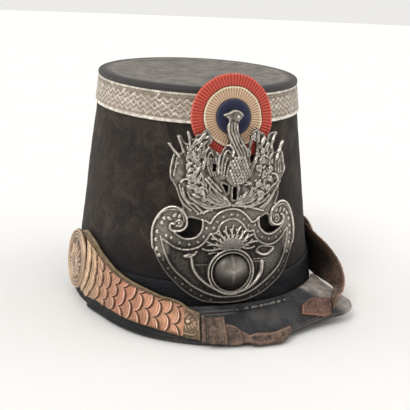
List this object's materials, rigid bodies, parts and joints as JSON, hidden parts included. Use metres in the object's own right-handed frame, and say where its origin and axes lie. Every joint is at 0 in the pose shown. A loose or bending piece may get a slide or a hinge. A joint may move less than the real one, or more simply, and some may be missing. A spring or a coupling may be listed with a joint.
{
  "type": "shako hat",
  "caption": "Felt military shako with leather top and peak, silver lace band, pierced metal front plate, red, cream and blue cockade, and scaled chin strap halves",
  "frame": {"origin": "bottom centre of the hat's bounding box, on the plane that the base rim rests on", "axes": "the front of the hat faces -Y, the wearer's left is +X, the crown rises along +Z"},
  "size_m": [0.1928, 0.2174, 0.1663],
  "materials": {
    "felt": "thick matt felt, brown-black and a little mottled",
    "top_leather": "worn dark leather with fine cracks",
    "black_leather": "blue-black leather with a soft sheen",
    "visor_leather": "stiff blackened leather, rubbed grey at its corner",
    "brown_leather": "old brown strap leather",
    "silver_lace": "woven metallic braid with a chevron pattern",
    "pewter": "stamped sheet metal, tarnished silver grey",
    "copper": "rubbed copper-coloured metal scales",
    "brass": "aged pale brass",
    "red": "pleated red fabric",
    "cream": "pleated cream fabric",
    "navy": "dark blue padded cloth"
  },
  "bodies": {
    "root": {"crown_felt": "felt", "crown_top": "top_leather", "lace_band": "silver_lace", "base_band": "black_leather", "visor": "visor_leather", "plate": "pewter", "cockade_red": "red", "cockade_cream": "cream", "cockade_centre": "navy", "boss_right": "brass", "boss_left": "brass", "strap_right": "brown_leather", "strap_left": "brown_leather", "tip_plate_right": "brass", "tip_plate_left": "brass", "tip_stud_right": "brass", "strap_end_right": "brown_leather", "keeper_right": "brown_leather", "strap_end_left": "brown_leather", "scale_right_01": "copper", "scale_right_02": "copper", "scale_right_03": "copper", "scale_right_04": "copper", "scale_right_05": "copper", "scale_right_06": "copper", "scale_right_07": "copper", "scale_right_08": "copper", "scale_right_09": "copper", "scale_right_10": "copper", "scale_right_11": "copper", "scale_right_12": "copper", "scale_right_13": "copper", "scale_left_01": "copper", "scale_left_02": "copper", "scale_left_03": "copper", "scale_left_04": "copper", "scale_left_05": "copper", "scale_left_06": "copper", "scale_left_07": "copper", "scale_left_08": "copper", "scale_left_09": "copper", "scale_left_10": "copper", "scale_left_11": "copper", "scale_left_12": "copper", "scale_left_13": "copper"}
  },
  "joints": []
}
